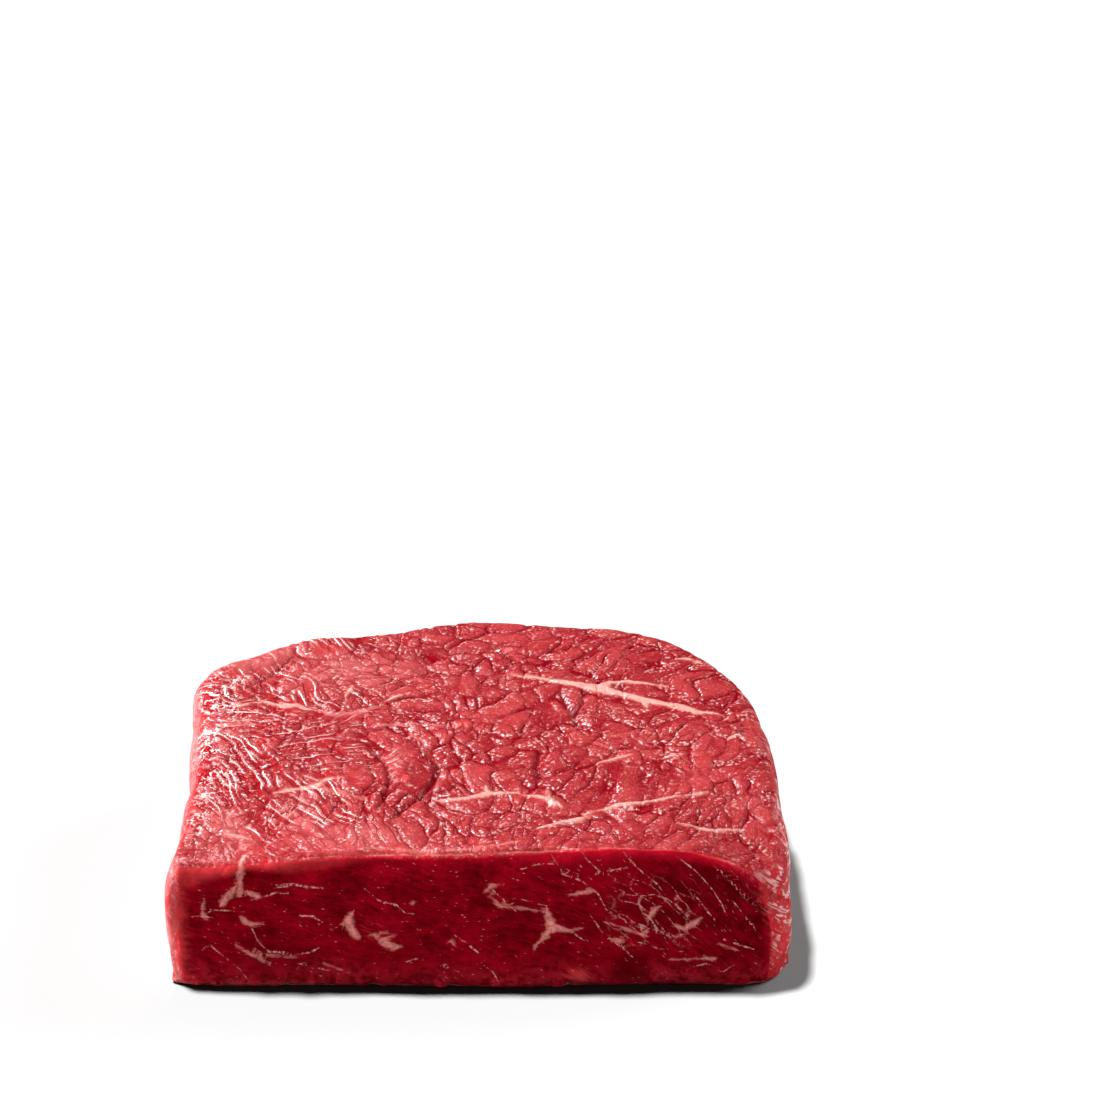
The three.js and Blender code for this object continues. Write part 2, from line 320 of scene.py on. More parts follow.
def wrinkleWaves(x, y):
    # For each family of wrinkles, the sine of a phase that grows across them and is bent by noise, plus noise
    # that is stretched along them. One family gives way to the next by a smooth blend.
    waves = np.zeros(x.shape)
    slow, quick = flesh["wrinkleBend"]
    for salt, (turn, *place) in enumerate(flesh["wrinkles"]):
        c, s = math.cos(math.radians(turn)), math.sin(math.radians(turn))
        bend = slow * smoothNoise(x / 6, y / 6, 0 * x, 41 + salt)
        bend += quick * smoothNoise(x / 2.6, y / 2.6, 0 * x, 47 + salt)
        across = (c * x + s * y) / flesh["wrinkleSpacing"] + bend
        along = (c * y - s * x) / flesh["wrinkleLength"]
        family = 0.5 * np.sin(2 * math.pi * across) + smoothNoise(1.2 * across, along, 0 * x, 53 + salt)
        waves = mix(waves, family, smoothstep(0.2, 0.6, hill(x, y, *place)))
    return waves


def wrinkleSide(x, y):
    # Distance in millimetres to the line where the waves cross 0, below 0 in the hollows: the waves divided
    # by their slope. Also how plain the line is there, and how far the surface rises towards the back right.
    apart = 0.02  # millimetres between the points that give the slope
    waves, right, back = (wrinkleWaves(x + dx, y + dy) for dx, dy in ((0, 0), (apart, 0), (0, apart)))
    slopeX, slopeY = (right - waves) / apart, (back - waves) / apart
    slope = np.maximum(np.hypot(slopeX, slopeY), 0.01)
    facing = (0.7 * slopeX + 0.7 * slopeY) / slope
    return waves / np.maximum(slope, 1), smoothstep(0.8, 2.4, slope), facing


def bundleField(x, y, z):
    # The bundles' own coordinates: x fans out towards the back, and both are bent by slow and by fine noise.
    width = flesh["bundleWidth"] * (1 + flesh["bundleFan"] * y)
    across = x / width + flesh["acrossBend"] * smoothNoise(x / 9, y / 9, z / 9, 17)
    along = y / flesh["bundleLength"] + flesh["alongBend"] * smoothNoise(x / 14, y / 14, z / 14, 11)
    across = across + flesh["fineBend"] * smoothNoise(x / 1.9, y / 1.9, z / 1.9, 61)
    along = along + flesh["fineBend"] * smoothNoise(x / 1.9, y / 1.9, z / 1.9, 67)
    return across, along, z / (3 * flesh["bundleWidth"])


def topRelief(x, y, z):
    # Height = tilted flat-topped bundles - furrows - strand grooves - clefts + swells + lumps + wrinkles.
    # Also gives the furrows and the strands as distances in millimetres for the colours and the fine bump.
    across, along, deep = bundleField(x, y, z)
    toCentre, border, furrowSide, number, furrowWay = cellPattern(across, along, deep, 3)
    border, furrowSide = border * flesh["bundleWidth"], furrowSide * flesh["bundleWidth"]
    leftSide = smoothstep(*flesh["leftPart"], -x + 5 * smoothNoise(x / 9, y / 9, z / 9, 79))
    opened = smoothstep(-0.7, 0.5, smoothNoise(x / 3.6, y / 3.6, z / 3.6, 71)) * (1 - 0.5 * leftSide)
    furrow = np.exp(-(border / flesh["furrowWidth"]) ** 2) * opened
    tilt = toCentre[:, 0] * np.sin(40 * number) + toCentre[:, 1] * np.cos(40 * number)
    bundle = flesh["unevenness"] * (number - 0.5) + flesh["dome"] * smoothstep(0, 1.5, border)
    bundle = bundle + flesh["tilt"] * tilt
    share = flesh["strandShare"]
    strands = cellPattern(across / share, along / share, deep, 31)
    _, strandBorder, strandSide, strandNumber, strandWay = strands
    strandBorder, strandSide = (t * share * flesh["bundleWidth"] for t in (strandBorder, strandSide))
    strandOpen = smoothstep(-0.6, 0.4, smoothNoise(x / 5, y / 5, z / 5, 37))
    strand = flesh["strandDepth"] * (strandNumber - 0.5 - strandOpen * np.exp(-(strandBorder / 0.4) ** 2))
    calmness, milkiness, darkness = (
        np.max([hill(x, y, *patch) for patch in flesh[name]], 0)
        for name in ("calmPatches", "milkyPatches", "darkPatches"))
    wrinkled = np.maximum(leftSide, 0.7 * hill(x, y, *flesh["wrinkledPatch"]))
    wrinkled = wrinkled * (1 - 0.9 * calmness) * (1 - 0.6 * smoothstep(-32, -40, y))
    waveSide, waveOpen, waveFacing = wrinkleSide(x, y)
    wrinkle = flesh["wrinkleDepth"] * wrinkled * smoothstep(-0.4, 0.3, waveSide)
    swell = flesh["swellHeight"] * smoothNoise(*(t / flesh["swellBreadth"] for t in (x, y, z)), 5)
    calm = mix(flesh["cutCalm"], 1, smoothstep(-45, -36, y))
    bundle = bundle * (1 - 0.3 * leftSide)
    height = calm * (bundle + strand + wrinkle - flesh["furrowDepth"] * furrow) + swell
    cleft = np.zeros(x.shape)
    for course, depth in flesh["clefts"]:
        distance, side, _ = strokeDistance(x, y, [course])
        side = side + 0.35 * smoothNoise(x / 1.3, y / 1.3, 0 * x, 97)
        leftBank, rightBank, behind = (1 - smoothstep(0, reach, distance) for reach in flesh["cleftBanks"])
        share = np.where(side < 0, leftBank, np.maximum(rightBank, 0.4 * behind))
        height -= depth * share
        cleft = np.maximum(cleft, depth * np.where(side < 0, leftBank, rightBank))
    lump = np.zeros(x.shape)
    for *place, rise in flesh["topLumps"]:
        lump = np.maximum(lump, smoothstep(0.2, 0.6, hill(x, y, *place)))
        height += rise * smoothstep(0.1, 0.7, hill(x, y, *place))
    stored = {
        "bundleNumber": number, "furrowSide": furrowSide, "furrowDistance": border,
        "furrowOpen": opened * calm, "furrowFacing": furrowWay[:, :2] @ flesh["lampWay"],
        "strandSide": strandSide, "strandDistance": strandBorder,
        "strandOpen": strandOpen * calm, "strandFacing": strandWay[:, :2] @ flesh["lampWay"],
        "wrinkled": wrinkled, "waveSide": waveSide, "waveOpen": waveOpen, "waveFacing": waveFacing,
        "pale": np.maximum(calmness, milkiness) - darkness, "cleft": cleft, "lump": lump,
    }
    return height, stored


def cutRelief(x, z):
    # Height = slow unevenness + the lumps and hollows + fine streaks. Also gives the lumps and hollows alone.
    lumps = sum(rise * hill(x, z, atX, atZ, reach, reach) for atX, atZ, reach, rise in flesh["cutLumps"])
    across = cutAcross(x, z)
    streaks = 0.1 * smoothNoise(x / 5, across / 1.1, 0 * x, 43)
    streaks += 0.05 * smoothNoise(x / 2, across / 0.6, 0 * x, 47)
    return flesh["cutRelief"] * smoothNoise(x / 7, z / 4, 0 * x, 23) + lumps + streaks, lumps


def cutAcross(x, z):  # across the fibres of the knife cut, which run down to the right, steeper on the right
    return z + 0.22 * x + 0.01 * np.maximum(x - 5, 0) ** 2


marbling = {
    "fatOnTop": [  # x, y and half width along each streak of fat on the top
        [(5, 20.6, 0.1), (8, 20, 0.4), (12, 19, 0.6), (15.5, 18, 0.7), (19, 16.6, 1), (21.5, 15.8, 1.5),
         (24, 14.3, 0.95), (27, 12.6, 0.7), (29.5, 11, 0.95), (33, 9.6, 0.7), (36.5, 8.2, 1),
         (39.3, 6, 0.65), (42.5, 5.7, 0.4), (44.2, 4.8, 0.1)],
        [(21.5, 16.2, 0.6), (23.5, 18, 0.55), (27, 18.5, 0.4), (31, 17.3, 0.3), (34, 16.4, 0.1)],
        [(29.8, 10.5, 0.6), (30.2, 8.3, 0.15)],
        [(-8.2, -26.9, 0.1), (-5.5, -26.4, 0.45), (-3, -26, 0.4), (0, -24.6, 0.5), (2, -24.2, 0.6),
         (4.2, -24, 0.4), (6.6, -24.3, 0.1)],
        [(7.5, -24.8, 0.1), (10, -25.2, 0.3), (11.6, -26.2, 0.6), (13, -27.6, 0.6), (14.2, -29.2, 0.1)],
        [(1, -24, 0.4), (0.7, -21.4, 0.1)],
        [(12, -25.6, 0.35), (11.8, -22.8, 0.1)],
        [(18.5, -31.7, 0.1), (22, -30, 0.3), (24.5, -28.4, 0.75), (28, -27.5, 0.35), (32, -26.3, 0.3),
         (35.2, -25, 0.1)],
        [(36.2, -24.9, 0.1), (38, -24.2, 0.45), (39.8, -23.4, 0.1)],
        [(24, -30, 0.3), (25, -30.2, 0.45)],
        [(10, -37.2, 0.1), (13, -35.8, 0.4), (15, -34.8, 0.7), (17.6, -33.8, 0.65)],
        [(34.5, -34.8, 0.1), (37, -35, 0.3), (39.5, -35.3, 0.4), (43, -33.6, 0.2), (46, -33, 0.1)],
        [(-49, 11, 0.1), (-45.5, 8.2, 0.3), (-44, 9.5, 0.2), (-41, 10.3, 0.2), (-39, 9.2, 0.35),
         (-36.6, 8.6, 0.8), (-35, 8.8, 0.5), (-33.5, 7.5, 0.3), (-30.5, 6.5, 0.1)],
        [(-36.5, -24, 0.1), (-33, -22.8, 0.3), (-30, -22.4, 0.45), (-28.8, -21, 0.55), (-27.8, -19.6, 0.4),
         (-26, -19.3, 0.1)],
        [(-29, -20.3, 0.3), (-31.5, -18.6, 0.1)],
        [(-44, -35.3, 0.1), (-42.5, -35.9, 0.25), (-40.5, -36.9, 0.1)],
        [(-40.2, -42.6, 0.15), (-41, -45.5, 0.45), (-42.5, -48.5, 0.1)],
        [(21, -12.8, 0.1), (23, -12, 0.3), (25, -11, 0.25), (27.2, -10, 0.1)],
        [(32.8, -11.3, 0.1), (34.5, -10.5, 0.3), (36, -10, 0.1)],
        [(-18.5, 10.8, 0.1), (-17, 12.2, 0.45), (-15.8, 13.2, 0.15)],
        [(-26.2, 12.8, 0.15), (-25.4, 15.2, 0.3), (-25.2, 17, 0.1)],
        [(36.8, 27.6, 0.1), (38.5, 27.8, 0.35), (40.5, 26.4, 0.25), (41, 26, 0.1)],
        [(44.8, -3.8, 0.1), (46.5, -2.4, 0.5), (47.6, -3.6, 0.1)],
        [(48, 15, 0.3), (49.2, 14, 0.3)],
    ],
    "filmOnTop": [  # the same for the fainter pink bands of connective tissue
        [(-20, -42.8, 0.1), (-14, -43.6, 0.3), (-6, -44, 0.5), (0, -43.6, 0.4), (4, -42.6, 0.2),
         (7, -41.6, 0.1)],
        [(-20, 1, 0.2), (-16, 1.7, 0.5), (-12, 1.4, 0.4), (-7, 1, 0.3)],
        [(-30.5, 6.5, 0.2), (-28, 5.2, 0.7), (-24, 5.5, 0.6), (-21, 8, 0.5), (-19, 10, 0.2)],
        [(-28.5, -22.8, 0.5), (-25, -23.8, 0.8), (-20.5, -26, 0.4)],
        [(2, 20.5, 0.2), (5, 21, 0.5), (8, 20.5, 0.6)],
        [(17, -33.5, 0.5), (20, -31, 0.3), (22, -29, 0.5)],
    ],
    "fatOnCut": [  # x, z and half width along each fleck of fat on the knife cut
        [(11.5, 16.6, 0.3), (11.8, 15, 0.5), (12.5, 12.8, 1.1), (15.5, 11.9, 0.3), (17.8, 12.3, 0.1)],
        [(12.3, 12.4, 0.8), (10.6, 10, 0.4), (9.8, 9.3, 0.3), (9.2, 7.6, 0.1)],
        [(1.3, 19.3, 0.1), (2.6, 18.2, 0.15), (3.7, 16.9, 0.35), (6, 16.6, 0.15), (8.4, 16.4, 0.15),
         (11.4, 16, 0.2)],
        [(3.7, 17, 0.3), (4.2, 18, 0.1)],
        [(-21.9, 15.6, 0.35), (-22.7, 14, 0.8), (-22.2, 12.3, 0.75), (-21.4, 11, 0.65)],
        [(-23.2, 13.4, 0.2), (-25.6, 12.2, 0.1)],
        [(-19, 11, 0.15), (-17, 11.4, 0.2), (-14.3, 11, 0.1)],
        [(-18, 10.8, 0.25), (-16.5, 9.6, 0.75), (-15, 8.7, 0.75), (-13.6, 8.6, 0.1)],
        [(-40.9, 14, 0.35), (-40.4, 13, 0.4), (-37.8, 12.7, 0.3)],
        [(-44.2, 17, 0.6), (-43.4, 18.4, 0.5), (-41.4, 20.8, 0.35)],
        [(-39.4, 19, 0.5), (-38.2, 18.4, 0.6)],
        [(-47.4, 17.4, 0.1), (-47.8, 16.2, 0.25), (-47.6, 14.3, 0.3), (-46.6, 13.6, 0.1)],
        [(-27, 4.6, 0.15), (-25, 3.9, 0.25), (-22.8, 3.2, 0.1)],
        [(15.6, 19, 0.1), (17.2, 19.3, 0.45), (18.8, 19.9, 0.4)],
        [(1.2, 19.8, 0.2), (2.2, 20.9, 0.35), (3.8, 21.2, 0.2)],
        [(22, 13.2, 0.3), (24.7, 12.4, 0.2), (26.6, 11.4, 0.3), (28.7, 10.6, 0.35)],
        [(23.2, 9.7, 0.4), (24.2, 9.5, 0.5)],
        [(29.2, 14.2, 0.3), (30, 15.6, 0.6), (31, 16.2, 0.2)],
        [(33.6, 12.4, 0.15), (35.4, 11.8, 0.4), (36.9, 12.9, 0.5), (38, 14, 0.1)],
        [(41.4, 9.2, 0.1), (43.5, 8.3, 0.3), (45, 7.6, 0.1)],
        [(-5.8, 9.4, 0.15), (-5, 9.9, 0.3), (-4.3, 8.8, 0.15)],
        [(-11.9, 17.3, 0.25), (-11.4, 17.5, 0.3)],
        [(-42, 8.7, 0.15), (-40.5, 7.4, 0.35), (-39, 6.4, 0.3), (-36.7, 4.7, 0.1)],
        [(-38.8, 7.8, 0.1), (-37.6, 6.6, 0.2), (-35.9, 6.5, 0.35), (-33.9, 6.2, 0.2), (-31.5, 6.4, 0.1)],
        [(33, 5.6, 0.1), (37, 5.8, 0.15), (40.4, 6, 0.3)],
    ],
    "seamsOnCut": [  # x, z and half width along the beaded seams between bundles on the knife cut
        [(10, 30.4, 0.1), (11.8, 27.3, 0.1), (14.1, 23.4, 0.1)],
        [(16.8, 27.8, 0.1), (18.3, 25.6, 0.1), (20.2, 23.8, 0.1), (23.3, 22, 0.1)],
        [(24.8, 26.5, 0.1), (27.1, 23.8, 0.1), (30.6, 20.7, 0.1), (32.1, 18.5, 0.1)],
        [(33.5, 26, 0.1), (37, 23.4, 0.1), (39.7, 20.3, 0.1), (41.7, 17.1, 0.1), (42.5, 14.9, 0.1)],
        [(38.5, 26, 0), (42.4, 22.5, 0), (46.3, 18, 0), (49.1, 14.4, 0)],
        [(40, 24.3, 0), (43.9, 20.3, 0), (47.5, 15.3, 0)],
        [(41, 25.4, 0), (45, 21.4, 0), (48.2, 17.4, 0), (50, 13.6, 0)],
        [(42.6, 18.8, 0), (45.2, 15.4, 0), (47.4, 12.6, 0)],
        [(1.2, 21.1, 0.1), (3.4, 18.9, 0.1), (6.1, 16.2, 0.1)],
        [(14.1, 22.9, 0.1), (17.6, 21.6, 0.1), (20.3, 19.4, 0.1), (21.8, 16.2, 0.1), (23.4, 14.9, 0.1),
         (27.2, 12.6, 0.15), (31.1, 10.8, 0.1)],
        [(13, 12.2, 0.1), (15.7, 11.7, 0.1), (18.4, 9.5, 0.1)],
        [(19.1, 14.9, 0.1), (21.1, 11.3, 0.1), (25, 7.7, 0.1), (26.5, 5.8, 0.1)],
        [(7.3, 23.8, 0.1), (10.3, 24.7, 0.1), (13, 24.7, 0.1), (16.8, 22.9, 0.1)],
        [(4.2, 18.5, 0.1), (6.9, 18.5, 0.1), (9.5, 17.6, 0.1), (11.5, 17.1, 0.1)],
        [(24.8, 23.8, 0.15), (21.8, 23.4, 0.15), (20.2, 22.9, 0.1)],
        [(44, 17.1, 0.1), (46, 14, 0.1), (47.6, 11.7, 0.1)],
        [(21.9, 9.9, 0.1), (24.9, 9.9, 0.15), (28, 9, 0.1), (31.1, 7.7, 0.15), (35, 7.2, 0.1)],
        [(28.7, 14.9, 0.15), (31.1, 11.3, 0.15), (32.3, 10.4, 0.1)],
        [(37.1, 18.5, 0.1), (39.1, 15.8, 0.15), (40.3, 14, 0.1)],
        [(42.3, 9.9, 0.15), (44.6, 9, 0.15), (47.3, 7.7, 0.1)],
        [(36.2, 4, 0.1), (39.3, 4.9, 0.15), (42.1, 3.1, 0.1), (44.3, 4.9, 0.1)],
        [(0.6, 4.9, 0.1), (2.2, 3.5, 0.1), (3.3, 1.3, 0.1)],
        [(-34.8, 20.7, 0.15), (-32, 20.9, 0.2), (-29.2, 20.4, 0.2), (-26.8, 20.2, 0.1)],
        [(-19.8, 20.1, 0.1), (-17.4, 18, 0.1), (-14.3, 17.2, 0.15), (-12.6, 15.6, 0.1), (-10.5, 15.4, 0.1)],
        [(-39.5, 17.6, 0.1), (-37, 18.4, 0.2), (-34.9, 19.2, 0.2), (-33.1, 19, 0.1)],
        [(-50.1, 14.3, 0.1), (-47.7, 14.5, 0.15), (-46.3, 14.3, 0.1)],
        [(-46.2, 15.8, 0.1), (-43.1, 15.6, 0.1), (-40.6, 15.4, 0.1)],
        [(-48, 7.7, 0.1), (-47.4, 8.6, 0.2), (-46.6, 8.6, 0.2), (-44.5, 6.5, 0.15), (-41.8, 3.6, 0.1),
         (-40.5, 1.5, 0.1)],
        [(-39.4, 11.9, 0.1), (-38.4, 9.4, 0.1), (-36.7, 7.3, 0.2), (-33.9, 7.1, 0.25), (-32.5, 6.5, 0.2),
         (-29, 7.3, 0.15), (-28.1, 8.1, 0.1)],
        [(-20.5, 5.2, 0.1), (-17, 5, 0.1), (-13.5, 5.2, 0.15), (-11.3, 6.1, 0.15), (-9.2, 6.7, 0.2),
         (-6.7, 6.3, 0.1)],
        [(-30.8, 14.7, 0.15), (-28.7, 14.8, 0.2), (-27, 13.5, 0.1)],
        [(-9.6, 5.6, 0.1), (-6.8, 4.8, 0.15), (-4.3, 3.6, 0.1)],
        [(-33.3, 5.2, 0.1), (-30.5, 4.4, 0.1), (-27.7, 3.6, 0.15), (-24.9, 3.1, 0.1)],
        [(-4.2, 11, 0.1), (-2.1, 9.4, 0.15), (0, 7.3, 0.1)],
    ],
    "glowBand": [  # x and thickness of the band of painted glow under the upper edge of the knife cut
        (-53, 5), (-50, 4), (-48.5, 3.4), (-46, 2.6), (-44, 2.2), (-39.6, 1.3), (-35, 1.8), (-32.6, 2.6),
        (-28, 2.6), (-24, 1.9), (-17, 1.5), (0, 1.6), (8, 2.6), (16.4, 2.8), (24.8, 2), (31, 1.6), (36, 1.9),
        (41, 2), (44, 2.8), (47, 3.6), (52, 5),
    ],
}


regions = {  # where the top, the knife cut and the walls give way to one another
    "top": (0.35, 0.8),  # upward part of the surface's direction, from walls to top
    "cut": (0.8, 0.97),  # level part of it, from the top to the relief of the knife cut
    "cutFacing": 0.86,  # how straight forward the knife cut faces at its ends
    "leftEnd": (-52.9, -51.5),  # x at which the knife cut starts on the left
    "cutColour": 0.85,  # level part of the surface's direction where the colour of the cut starts
}


def makeSteak():
    # Each point of the smooth form moves along its own normal by the relief of the top, of the knife cut and
    # of the walls, each in its share, and by the folds along the foot and the waves of the rim. Then the
    # whole is scaled into the CAD's box, and what the colours need is stored at its points.
    points, quads, triangles = smoothForm()
    print("smooth form:", len(points), "points,", 2 * len(quads) + len(triangles), "triangles")
    normals = pointNormals(points, quads, triangles)
    x, y, z = points.T
    onTop = smoothstep(*regions["top"], normals[:, 2])
    steep = np.maximum(np.hypot(normals[:, 0], normals[:, 1]), 1e-6)
    leftEnd = smoothstep(*regions["leftEnd"], x + 0.8 * smoothNoise(x / 3, z / 2.5, 0 * x, 19))
    facing = -normals[:, 1] / steep - regions["cutFacing"] - 0.08 * smoothstep(8, 18, z)
    frontal = smoothstep(-0.06, 0.06, facing) * leftEnd
    onCut = smoothstep(*regions["cut"], steep) * frontal * (1 - onTop)
    edgeSteepness = regions["cutColour"] - 0.14 * np.exp(-((x - 27) / 13) ** 2)
    onWall = (1 - onTop) * (1 - onCut)
    outOfReach = 500  # moves the points that are off the top, or off the knife cut, away from its strokes
    topFat = strokeDistance(x, y + np.where(z > 18, 0, outOfReach), marbling["fatOnTop"])
    cutFat = strokeDistance(x, z + np.where(y < -40, 0, outOfReach), marbling["fatOnCut"])
    nearTop = topFat[0] < cutFat[0]
    fatDistance, fatSide, fatHalf = (np.where(nearTop, *pair) for pair in zip(topFat, cutFat))
    seamDistance, seamSide, seamHalf = strokeDistance(x, z, marbling["seamsOnCut"])
    topFilm = strokeDistance(x, y, marbling["filmOnTop"])[0]
    top, stored = topRelief(x, y, z)
    top = mix(top, flesh["fatRelief"], 0.6 * smoothstep(0.6, -0.2, topFat[0]))
    cut, cutLumps = cutRelief(x, z)
    wall = flesh["wallRelief"] * smoothNoise(x / 6, y / 6, z / 8, 29)
    wall += 0.15 * smoothNoise(x / 2, y / 2, z / 5, 53)
    aboveFoot = smoothstep(0.2, 3, z)
    lift = aboveFoot * (onTop * top + onCut * cut + onWall * wall)
    lips = smoothstep(-0.4, 0.3, smoothNoise(x / 6, y / 6, 0 * z, 83))
    lips = lips * smoothNoise(x / 1.7, y / 1.7, z / 2, 89)
    lips = lips + 0.6 * smoothNoise(x / 4, y / 4, 0 * z, 91)
    lift += flesh["lips"] * lips * smoothstep(0, 0.5, z) * (1 - smoothstep(*flesh["lipsFade"], z))
    rimWave = smoothNoise(x / 6, 0 * y, 0 * z, 101) + 0.5 * smoothNoise(x / 2.5, 0 * y, 0 * z, 103)
    atRim = smoothstep(0.15, 0.6, steep) * smoothstep(*flesh["rimWaveBelow"], topHeight(x, y) - z) * frontal
    lift += flesh["rimWave"] * rimWave * atRim
    raised = points + normals * lift[:, None]
    raised[:, 2] = np.where(z < 1e-6, 0, np.maximum(raised[:, 2], 0.02))

    low, high = raised.min(0), raised.max(0)
    cadSize = np.array(cadHigh) - np.array(cadLow)
    placed = np.array(cadLow) + (raised - low) / (high - low) * cadSize
    mesh = bpy.data.meshes.new("rump_steak")
    mesh.from_pydata(placed.tolist(), [], quads.tolist() + triangles.tolist())
    mesh.shade_smooth()
    stored |= {
        "fatDistance": fatDistance, "fatSide": fatSide, "fatHalf": fatHalf, "filmDistance": topFilm,
        "seamDistance": seamDistance, "seamSide": seamSide, "seamHalf": seamHalf, "cutLumps": cutLumps,
        "onCut": smoothstep(-0.2, 0.12, steep - edgeSteepness) * frontal,
        "onSide": (1 - onTop) * (1 - frontal), "across": cutAcross(x, z),
        "belowEdge": (topHeight(x, y) - z) / np.interp(x, *zip(*marbling["glowBand"])),
    }
    for name, value in stored.items():
        mesh.attributes.new(name, "FLOAT", "POINT").data.foreach_set("value", value.astype(np.float32))
    mesh.validate()
    print("steak surface made:", (high - low).round(2), "mm fitted to", (cadSize * 1000).round(2))
    return addObject("rump_steak", mesh)


class Field:  # one output of a node, with arithmetic on it
    def __init__(self, paint, socket):
        self.paint, self.socket = paint, socket

    def calc(self, operation, *values):
        return self.paint.node("ShaderNodeMath", {"operation": operation}, dict(enumerate(values)))

    def __add__(self, other):
        return self.calc("ADD", self, other)

    def __sub__(self, other):
        return self.calc("SUBTRACT", self, other)

    def __rsub__(self, other):
        return self.calc("SUBTRACT", other, self)

    def __mul__(self, other):
        return self.calc("MULTIPLY", self, other)

    def __abs__(self):
        return self.calc("ABSOLUTE", self)

    def most(self, other):
        return self.calc("MAXIMUM", self, other)

    __radd__, __rmul__ = __add__, __mul__


class Paint:  # a material being built
    slack = 0.3  # millimetres by which a plain distance, stored at the points alone, may be too large

    def __init__(self, name):
        self.material = bpy.data.materials.new(name)
        self.material.use_nodes = True
        self.tree = self.material.node_tree
        self.tree.nodes.clear()

    def node(self, kind, settings=None, inputs=None, output=0):
        # A new node of this kind. Gives its output of this name or number, or a list where several are named.
        node = self.tree.nodes.new(kind)
        for key, value in (settings or {}).items():
            setattr(node, key, value)
        for key, value in (inputs or {}).items():
            if isinstance(value, Field):
                self.tree.links.new(value.socket, node.inputs[key])
            else:
                node.inputs[key].default_value = value
        if isinstance(output, tuple):
            return [Field(self, node.outputs[name]) for name in output]
        return Field(self, node.outputs[output]) if node.outputs else None

    def millimetres(self):  # Object coordinates in millimetres
        place = self.node("ShaderNodeTexCoord", output="Object")
        return self.node("ShaderNodeVectorMath", {"operation": "SCALE"}, {0: place, "Scale": 1000.0})

    def stored(self, name):  # a value stored on the mesh
        return self.node("ShaderNodeAttribute", {"attribute_name": name}, output="Fac")

    def line(self, side, distance):  # exact distance to a line from its signed and its plain distance
        return abs(self.stored(side)).most(self.stored(distance) - self.slack)

    def stroke(self, name):  # exact distance to the edge of a stroke, below 0 inside it
        edge = abs(self.stored(name + "Side")) - self.stored(name + "Half")
        return edge.most(self.stored(name + "Distance") - self.slack)

    def step(self, value, low, high):  # smooth step, which also runs downwards where low is above high
        return self.node("ShaderNodeMapRange", {"interpolation_type": "SMOOTHSTEP"},
                         {"Value": value, "From Min": low, "From Max": high})

    def blend(self, a, b, factor):  # colour a where the factor is 0, colour b where it is 1
        return self.node("ShaderNodeMix", {"data_type": "RGBA"}, {0: factor, 6: a, 7: b}, output=2)

    def layers(self, colour, tints):  # the colour with one tint after another laid over it, each in its share
        for tint, share in tints:
            colour = self.blend(colour, tint, share)
        return colour

    def noise(self, vector, scale, detail=2, roughness=0.5):
        return self.node("ShaderNodeTexNoise", {}, {
            "Vector": vector, "Scale": scale, "Detail": detail, "Roughness": roughness})

    def joined(self, x, y, z):
        return self.node("ShaderNodeCombineXYZ", {}, {"X": x, "Y": y, "Z": z})

    def cells(self, vector, scale):  # distance to the nearest scattered point, and that point's own number
        inputs = {"Vector": vector, "Scale": scale}
        return self.node("ShaderNodeTexVoronoi", {}, inputs, ("Distance", "Color"))

    def lampSideBank(self, name):  # 1 on a strip along the lamp side of each line of this pattern, where highlights are painted
        rise = self.stored(name + "Side") * self.stored(name + "Facing")
        return self.step(rise, 0.05, 0.14) * self.step(rise, 0.6, 0.4) * self.stored(name + "Open")

    def webbing(self, vector):  # distance to the nearest border between cells
        inputs = {"Vector": vector, "Scale": 1.0}
        return self.node("ShaderNodeTexVoronoi", {"feature": "DISTANCE_TO_EDGE"}, inputs)

    def finish(self, shader):
        self.node("ShaderNodeOutputMaterial", {}, {"Surface": shader})
        return self.material


